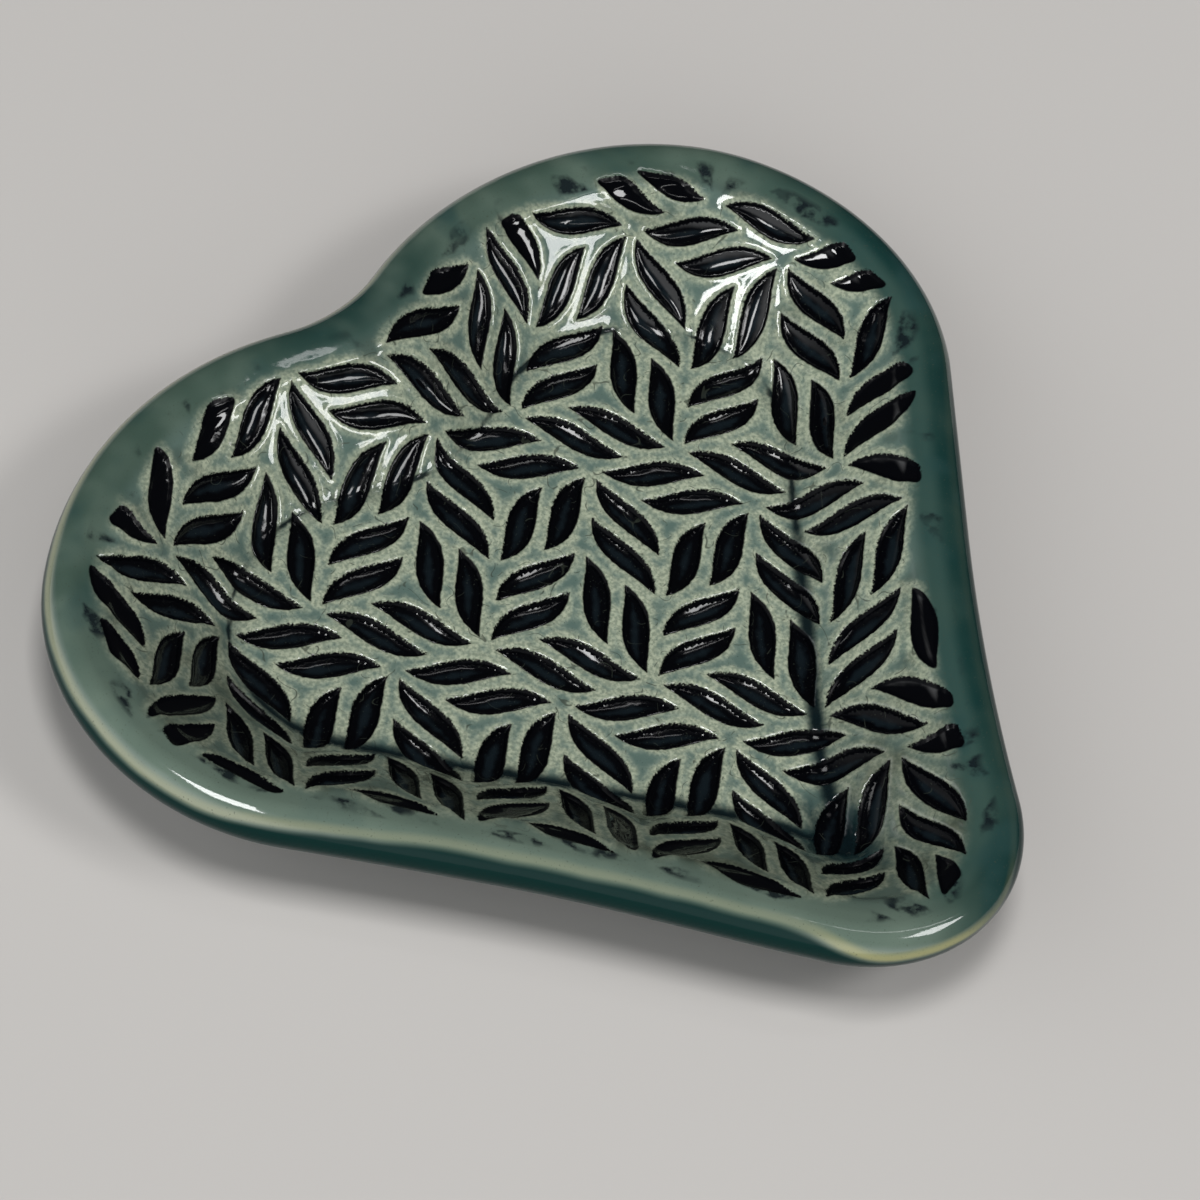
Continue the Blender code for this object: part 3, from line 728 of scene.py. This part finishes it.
def dish(drape, leaves, faint, glaze, clay):
    """The glazed slab: its stamped face, rounded rim, underside and bare base."""
    flat, face_list, upper = slab_mesh(drape, leaves)
    field = Field(drape, leaves, flat)
    under_slip = (field.gap < -(SLIP_EDGE + DEEP_RING) / 2) & (field.pressed == 1.0)
    points = field.lift(np.where(under_slip, HOLLOW_DEPTH, field.slip_depth()))
    points[upper] = drape.place(np.arange(drape.count), drape.reach[:, -1], drape.rise[:, -1])
    print_gap = np.full(len(flat), FAR)
    outer = np.flatnonzero(field.to_edge < BAND_REACH)
    print_gap[outer] = gaps_of(flat[outer], faint)[0]
    parts = [points]
    known = {
        "leaf_gap": [field.gap],
        "crease_gap": [field.past],
        "edge_way": [-field.to_edge],
        "print_gap": [print_gap],
        "torn": [field.torn * MILLIMETRE],
    }
    faces = face_list.tolist()
    total = len(points)
    for ring, along in rim_and_underside(drape):
        lower = np.arange(total, total + drape.count)
        parts.append(ring)
        for label, values in known.items():
            values.append(np.full(drape.count, along if label == "edge_way" else FAR))
        total += drape.count
        faces += np.column_stack([upper, np.roll(upper, -1), np.roll(lower, -1), lower]).tolist()
        upper = lower
    glazed = len(faces)
    base, base_faces, base_edge = base_mesh(parts[-1])
    links = np.full(len(base), -1)
    links[base_edge] = upper
    fresh = np.flatnonzero(links < 0)
    links[fresh] = np.arange(total, total + len(fresh))
    parts.append(np.column_stack([base[fresh], np.zeros(len(fresh))]))
    for values in known.values():
        values.append(np.full(len(fresh), FAR))
    faces += links[base_faces[:, ::-1]].tolist()
    attributes = {label: np.concatenate(values) / MILLIMETRE for label, values in known.items()}
    numbers = np.zeros(len(faces), int)
    numbers[glazed:] = 1
    body = piece("glazed_dish", np.vstack(parts), faces, [glaze, clay], attributes, numbers)
    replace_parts(body, "dish_body")


def base_mesh(ring):
    """The flat base as triangles: its points in plan, its faces and the numbers of its edge's points."""
    outline = ring[:, :2]
    return triangulated(outline, [], far_from(even_field(outline, BASE_GRAIN), outline, BASE_GRAIN / 2))


def slip_skin(drape, leaf):
    """The slip of one leaf, closed: its points, its faces, what its finish reads, and its middle."""
    line = leaf_outline(leaf, SLIP_EDGE)
    loose = far_from(even_field(line, SLIP_GRAIN), line, SLIP_GRAIN * CLEAR_SHARE)
    flat, face_list, edge = triangulated(line, [], loose[inside_of(loose, line)])
    field = Field(drape, [(leaf, leaf_outline(leaf), True)], flat)
    depth = field.slip_depth()
    thick = SLIP_THICKNESS * smooth(-field.gap, SLIP_EDGE, DEEP_RING)
    points = np.vstack([field.lift(depth), field.lift(depth + thick + HAIR)])
    size = len(flat)
    sides = np.column_stack([edge + size, np.roll(edge, -1) + size, np.roll(edge, -1), edge])
    faces = face_list.tolist() + (face_list[:, ::-1] + size).tolist() + sides.tolist()
    return points, faces, np.tile(field.gap, 2) / MILLIMETRE, points[:size].mean(axis=0)


def slip_piece(name, skins, finish):
    """The slip of some leaves as one piece."""
    faces, start = [], 0
    for points, own, _, _ in skins:
        faces += [[start + corner for corner in corners] for corners in own]
        start += len(points)
    attributes = {"leaf_gap": np.concatenate([gap for _, _, gap, _ in skins])}
    made = piece(name, np.vstack([points for points, _, _, _ in skins]), faces, [finish], attributes)
    # The thin sides stay flat
    made.data.polygons.foreach_set("use_smooth", [len(corners) == 3 for corners in faces])
    return made


def slip_pieces(drape, leaves, finish):
    """A piece for each filling of the part, and one for the leaves further out."""
    skins = [slip_skin(drape, leaf) for leaf, _, whole in leaves if whole]
    for node in sorted(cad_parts):
        if node.startswith("leaf_inlay"):
            low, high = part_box(node)
            middle = np.array((low + high) / 2)
            nearest = min(range(len(skins)), key=lambda n: np.linalg.norm(skins[n][3] - middle))
            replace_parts(slip_piece(node.replace("inlay", "slip"), [skins.pop(nearest)], finish), node)
    slip_piece("outer_leaf_slip", skins, finish)


class Finish:
    """One node material. Most methods add a node or a few and give their output."""

    def __init__(self, name):
        self.material = bpy.data.materials.new(name)
        self.material.use_nodes = True
        self.tree = self.material.node_tree
        self.shader = self.tree.nodes["Principled BSDF"]
        self.where = self.node("TexCoord").outputs["Object"]
        self.x, self.y, _ = self.node("SeparateXYZ", Vector=self.where).outputs

    def put(self, socket, value):
        if isinstance(value, bpy.types.NodeSocket):
            self.tree.links.new(value, socket)
        else:
            socket.default_value = value

    def fill(self, node, **values):
        for label, value in values.items():
            self.put(node.inputs[label.replace("_", " ")], value)

    def node(self, kind, **values):
        made = self.tree.nodes.new("ShaderNode" + kind)
        self.fill(made, **values)
        return made

    def set(self, **values):
        self.fill(self.shader, **values)

    def attribute(self, label):
        made = self.node("Attribute")
        made.attribute_name = label
        return made.outputs["Fac"]

    def math(self, operation, *values):
        made = self.node("Math")
        made.operation = operation
        for socket, value in zip(made.inputs, values):
            self.put(socket, value)
        return made.outputs[0]

    def chain(self, operation, total, *others):
        for value in others:
            total = self.math(operation, total, value)
        return total

    def plus(self, *values):
        return self.chain("ADD", *values)

    def times(self, *values):
        return self.chain("MULTIPLY", *values)

    def forward(self):
        """How far toward the viewer a place lies."""
        return self.times(self.plus(self.x, self.y), -DIAGONAL_SHARE)

    def rightward(self):
        """How far to the viewer's right a place lies."""
        return self.times(self.math("SUBTRACT", self.x, self.y), DIAGONAL_SHARE)

    def ease(self, value, start, end, low=0.0, high=1.0):
        """An even S from low at start to high at end."""
        made = self.node("MapRange")
        made.interpolation_type = "SMOOTHSTEP"
        for socket, number in zip(made.inputs[:5], (value, start, end, low, high)):
            self.put(socket, number)
        return made.outputs[0]

    def level(self, share, none, whole):
        """A share turned into a level."""
        return self.ease(share, 0.0, 1.0, none, whole)

    def noise(self, size, detail=2.0):
        """Noise from 0 to 1 with features of about a size in metres."""
        return self.node("TexNoise", Vector=self.where, Scale=1 / size, Detail=detail).outputs["Fac"]

    def patches(self, size, detail, *change):
        return self.ease(self.noise(size, detail), *change)

    def swing(self, size, reach, detail=2.0):
        """Noise that swings to either side of zero by about a reach."""
        off = self.math("SUBTRACT", self.noise(size, detail), NOISE_MIDDLE)
        return self.times(off, SWING_GAIN * reach)

    def stirred(self, value, *swings):
        """A value with some swings laid on it."""
        return self.plus(value, *(self.swing(*each) for each in swings))

    def hairlines(self, size, width, patch_size):
        """Thin bending lines here and there, from 1 on a line to 0 beside it."""
        off = self.math("ABSOLUTE", self.math("SUBTRACT", self.noise(size, 1.0), NOISE_MIDDLE))
        here = self.ease(self.noise(patch_size), *HAIR_PATCH_CHANGE)
        return self.times(self.ease(off, width, width * HAIR_CORE_SHARE), here)

    def mix(self, share, first, second):
        made = self.node("Mix")
        made.data_type = "RGBA"
        self.put(made.inputs[0], share)
        self.put(made.inputs[6], first)
        self.put(made.inputs[7], second)
        return made.outputs[2]

    def bumps(self, *layers):
        """Bumps from noise, each layer laid over the one before."""
        under = None
        for size, detail, height in layers:
            made = self.node("Bump", Distance=height, Height=self.noise(size, detail))
            if under is not None:
                self.put(made.inputs["Normal"], under)
            under = made.outputs[0]
        self.set(Normal=under)


def web_colour(finish, gap):
    """The glaze between the leaves: thin and khaki by their edges, pooled and teal away from them."""
    mottled = finish.stirred(gap, *WEB_SWINGS)
    grain = finish.patches(*WEB_GRAIN)
    light = finish.mix(grain, KHAKI, KHAKI_DARK)
    middle = finish.mix(grain, SAGE, SAGE_DARK)
    colour = finish.mix(finish.ease(mottled, *WEB_TO_SAGE), light, middle)
    return finish.mix(finish.ease(mottled, *WEB_TO_POOL), colour, POOL)


def wall_shade(finish, colour):
    """Darker glaze on the wall than on the floor, most of all on the side toward the viewer: partly
    thicker glaze, partly painted shade.
    """
    thick = finish.plus(finish.ease(finish.forward(), *WALL_NEAR_SHADE), finish.patches(*WALL_PATCHES))
    past = finish.ease(finish.attribute("crease_gap"), *WALL_START)
    return finish.mix(finish.times(past, thick), colour, WALL_GLAZE_AND_SHADE)


def slip_gloss(finish):
    """The gloss of the slip, duller on the wall toward the viewer and on the one to the right."""
    near = finish.ease(finish.forward(), *SLIP_DULL_NEAR)
    right = finish.ease(finish.rightward(), *SLIP_DULL_RIGHT)
    return finish.level(finish.math("MAXIMUM", near, right), *SLIP_GLOSS)


def rim_colour(finish, colour, way):
    """The plain band, the thin glaze that breaks over the crest, and the dark teal outside it."""
    way = finish.stirred(way, RIM_SWING)
    # On the right the band turns darker teal: partly thicker glaze, partly painted shade
    right = finish.ease(finish.stirred(finish.rightward(), SIDE_SWING), *RIGHT_SIDE)
    right = finish.times(right, finish.ease(finish.x, *RIGHT_START))
    far = finish.ease(finish.stirred(finish.x, SIDE_SWING), *FAR_SIDE)
    notch = finish.ease(finish.math("ABSOLUTE", finish.x), *NOTCH_SIDES)
    notch = finish.times(notch, finish.ease(finish.y, *NOTCH_BACK))
    teal = finish.mix(finish.ease(finish.plus(way, notch), *BAND_TO_DEEP), BAND_TEAL, BAND_DEEP)
    band = finish.mix(finish.math("MAXIMUM", right, notch), BAND, teal)
    band = finish.mix(finish.patches(*BAND_CLOUDS), band, finish.mix(right, SAGE_DARK, BAND))
    band = finish.mix(finish.patches(*BAND_BLUES), band, BAND_BLUE)
    near = finish.times(finish.ease(finish.forward(), *BAND_NEAR), finish.ease(right, *BAND_NOT_RIGHT))
    band = finish.mix(near, band, SAGE_DARK)
    inner = finish.plus(way, finish.times(right, BAND_RIGHT_WAY))
    colour = finish.mix(finish.ease(inner, *BAND_START), colour, band)
    tip = finish.times(finish.ease(finish.y, *TIP_FRONT), finish.ease(finish.x, *TIP_SIDE))
    further = finish.plus(finish.ease(finish.y, *CREST_BACK), finish.times(tip, CREST_TIP_WAY))
    past = finish.math("SUBTRACT", way, finish.plus(further, CREST_WAY))
    crest = finish.times(finish.ease(past, *CREST_RISE), finish.ease(past, *CREST_FALL))
    strength = finish.times(finish.level(far, *CREST_FAR_LEVELS), finish.ease(further, *CREST_FURTHER))
    strength = finish.times(strength, finish.ease(right, *CREST_RIGHT))
    colour = finish.mix(finish.times(crest, strength), colour, finish.mix(tip, CREST, CREST_TIP))
    deep = finish.ease(past, *DEEP_START)
    return finish.mix(deep, colour, DEEP), deep


def crease_colour(finish, colour):
    """Glaze pooled in the crease with painted shade laid over it, darkest toward the heart's tip and
    toward the viewer.
    """
    crease = finish.stirred(finish.math("ABSOLUTE", finish.attribute("crease_gap")), *CREASE_SWINGS)
    near = finish.ease(finish.forward(), *CREASE_NEAR_SHADE)
    tipward = finish.math("MAXIMUM", finish.ease(finish.y, *CREASE_TIPWARD), near)
    halo = finish.times(finish.ease(crease, *CREASE_HALO), finish.level(tipward, *CREASE_HALO_LEVELS))
    # Pooled glaze and painted shade along the crease
    colour = finish.mix(halo, colour, CREASE_POOL_AND_SHADE)
    from_corner = finish.math("ABSOLUTE", finish.math("SUBTRACT", finish.y, CREASE_CORNER_Y))
    from_corner = finish.plus(from_corner, finish.math("ABSOLUTE", finish.x))
    from_corner = finish.stirred(from_corner, CORNER_SWING)
    colour = finish.mix(finish.ease(from_corner, *CORNER_POOL_AND_SHADE), colour, CREASE_POOL_AND_SHADE)
    colour = finish.mix(finish.ease(from_corner, *CORNER_SHADE_DARK), colour, CREASE_SHADE_DARK)
    reach = finish.level(tipward, *CREASE_REACH_LEVELS)
    line = finish.ease(finish.math("DIVIDE", crease, reach), *CREASE_LINE)
    shown = finish.ease(finish.plus(finish.patches(*CREASE_PATCHES), tipward), *CREASE_SHOWN)
    return finish.mix(finish.times(line, shown), colour, CREASE_SHADE_DARK)


def celadon():
    """Sea-green glaze that breaks to khaki over edges and lets the slip under it show."""
    finish = Finish("celadon_glaze_finish")
    gap = finish.attribute("leaf_gap")
    way = finish.attribute("edge_way")
    colour, deep = rim_colour(finish, wall_shade(finish, web_colour(finish, gap)), way)
    specks = finish.times(finish.patches(*GLAZE_SPECKS), finish.ease(deep, *SPECKS_SHALLOW))
    colour = finish.mix(specks, colour, SPECK)
    scratched = finish.times(finish.hairlines(*GLAZE_HAIRS), finish.ease(way, *GLAZE_HAIRS_INSIDE))
    colour = crease_colour(finish, finish.mix(scratched, colour, SPECK))
    printed = finish.stirred(finish.attribute("print_gap"), PRINT_SWING)
    smear = finish.times(finish.ease(printed, *PRINT_REACH), finish.ease(way, *PRINT_INSIDE))
    smear = finish.times(smear, finish.patches(*PRINT_PATCHES), finish.patches(*PRINT_STREAKS))
    colour = finish.mix(smear, colour, INK_POOL)
    torn = finish.times(finish.swing(*TORN_SWING), finish.math("MINIMUM", finish.attribute("torn"), 1.0))
    stained = finish.plus(finish.stirred(gap, STAIN_SWING), torn)
    colour = finish.mix(finish.ease(stained, *STAIN_REACH), colour, INK)
    dry = finish.times(finish.ease(gap, *DRY_OUTSIDE), finish.ease(gap, *DRY_INSIDE))
    gloss = finish.times(finish.level(deep, *GLAZE_GLOSS), finish.level(dry, *DRY_LEVELS))
    worn = finish.ease(dry, *GLAZE_ROUGHNESS)
    finish.set(Base_Color=colour, Roughness=worn, IOR=GLAZE_IOR, Specular_IOR_Level=gloss)
    finish.bumps(*GLAZE_BUMPS)
    return finish.material


def slip():
    """Black slip under the glaze: glossy, a little blue where the glaze lies deep."""
    finish = Finish("black_slip_finish")
    deep = finish.stirred(finish.attribute("leaf_gap"), *SLIP_SWINGS)
    colour = finish.mix(finish.ease(deep, *SLIP_TO_POOL), INK, INK_POOL)
    flecks = finish.math("MAXIMUM", finish.patches(*SLIP_DUST), finish.hairlines(*SLIP_HAIRS))
    colour = finish.mix(finish.times(flecks, SLIP_FLECK_SHARE), colour, SPECK)
    gloss = slip_gloss(finish)
    finish.set(Base_Color=colour, Roughness=SLIP_ROUGHNESS, IOR=GLAZE_IOR, Specular_IOR_Level=gloss)
    finish.bumps(*SLIP_BUMPS)
    return finish.material


def bare_clay():
    """The unglazed base: fired buff clay, grainy and matt."""
    finish = Finish("bare_clay_finish")
    colour = finish.mix(finish.patches(*CLAY_CLOUDS), CLAY, CLAY_DARK)
    colour = finish.mix(finish.patches(*CLAY_SPECKS), colour, SPECK)
    finish.set(Base_Color=colour, Roughness=CLAY_ROUGHNESS)
    finish.bumps(CLAY_BUMP)
    return finish.material


def looking(aim, side, toward, distance):
    """The place and turn of a thing that looks at an aim from a distance toward one way."""
    turn = Matrix((side, toward.cross(side), toward)).transposed().to_4x4()
    return Matrix.Translation(aim + toward * distance) @ turn


def camera():
    """The photograph's view: a long lens from above, rolled to one side."""
    data = bpy.data.cameras.new("photo_camera")
    data.lens = CAMERA_LENS
    data.sensor_width = CAMERA_SENSOR
    data.clip_end = CAMERA_SIGHT
    made = added("photo_camera", data)
    level = math.cos(CAMERA_ELEVATION)
    toward = Vector((*(level * heading(CAMERA_AZIMUTH)), math.sin(CAMERA_ELEVATION))).normalized()
    side = Vector((0.0, 0.0, 1.0)).cross(toward).normalized()
    roll = Matrix.Rotation(CAMERA_ROLL, 4, "Z")
    made.matrix_world = looking(CAMERA_AIM, side, toward, CAMERA_DISTANCE) @ roll
    bpy.context.scene.camera = made


def lamp(name, right, back, size, power):
    """A rectangle of light over the dish, by its lean to the picture's right and back."""
    toward = right * PICTURE_RIGHT + back * PICTURE_BACK
    toward.z = math.sqrt(1 - right**2 - back**2)
    data = bpy.data.lights.new(name, "AREA")
    data.shape = "RECTANGLE"
    data.size, data.size_y = size
    data.energy = power
    side = PICTURE_BACK.cross(toward).normalized()
    added(name, data).matrix_world = looking(Vector(), side, toward, LAMP_DISTANCE)


def room():
    """Soft light from low in the room all round, fading overhead and behind the dish."""
    world = bpy.data.worlds.new("room")
    world.use_nodes = True
    tree = world.node_tree
    way = tree.nodes.new("ShaderNodeTexCoord").outputs["Generated"]
    lean = tree.nodes.new("ShaderNodeVectorMath")
    lean.operation = "DOT_PRODUCT"
    tree.links.new(way, lean.inputs[0])
    lean.inputs[1].default_value = ROOM_DARK_SIDE
    level = tree.nodes.new("ShaderNodeMapRange")
    level.interpolation_type = "SMOOTHSTEP"
    tree.links.new(lean.outputs["Value"], level.inputs[0])
    for socket, number in zip(level.inputs[1:5], ROOM_FADE + ROOM_LIGHT):
        socket.default_value = number
    shade = tree.nodes["Background"]
    shade.inputs["Color"].default_value = ROOM
    tree.links.new(level.outputs[0], shade.inputs["Strength"])
    bpy.context.scene.world = world


def ground_floor():
    """The plain pale floor under the dish."""
    mesh = bpy.data.meshes.new("floor")
    corners = [(x * FLOOR_HALF, y * FLOOR_HALF, 0) for x, y in ((-1, -1), (1, -1), (1, 1), (-1, 1))]
    mesh.from_pydata(corners, [], [(0, 1, 2, 3)])
    finish = Finish("floor_finish")
    finish.set(Base_Color=FLOOR, Roughness=FLOOR_ROUGHNESS)
    mesh.materials.append(finish.material)
    added("floor", mesh)


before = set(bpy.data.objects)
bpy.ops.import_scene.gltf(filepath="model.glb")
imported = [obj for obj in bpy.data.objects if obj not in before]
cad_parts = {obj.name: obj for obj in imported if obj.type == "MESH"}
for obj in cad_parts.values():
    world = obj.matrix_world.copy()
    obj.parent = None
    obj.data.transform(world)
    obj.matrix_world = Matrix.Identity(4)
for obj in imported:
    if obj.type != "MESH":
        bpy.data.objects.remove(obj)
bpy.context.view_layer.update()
slab = Drape()
kept_leaves, faint_prints = slab_leaves(slab)
dish(slab, kept_leaves, faint_prints, celadon(), bare_clay())
slip_pieces(slab, kept_leaves, slip())
camera()
for lamp_name, lamp_facts in LAMPS.items():
    lamp(lamp_name, *lamp_facts)
room()
ground_floor()
bpy.context.scene.view_settings.view_transform = "Standard"
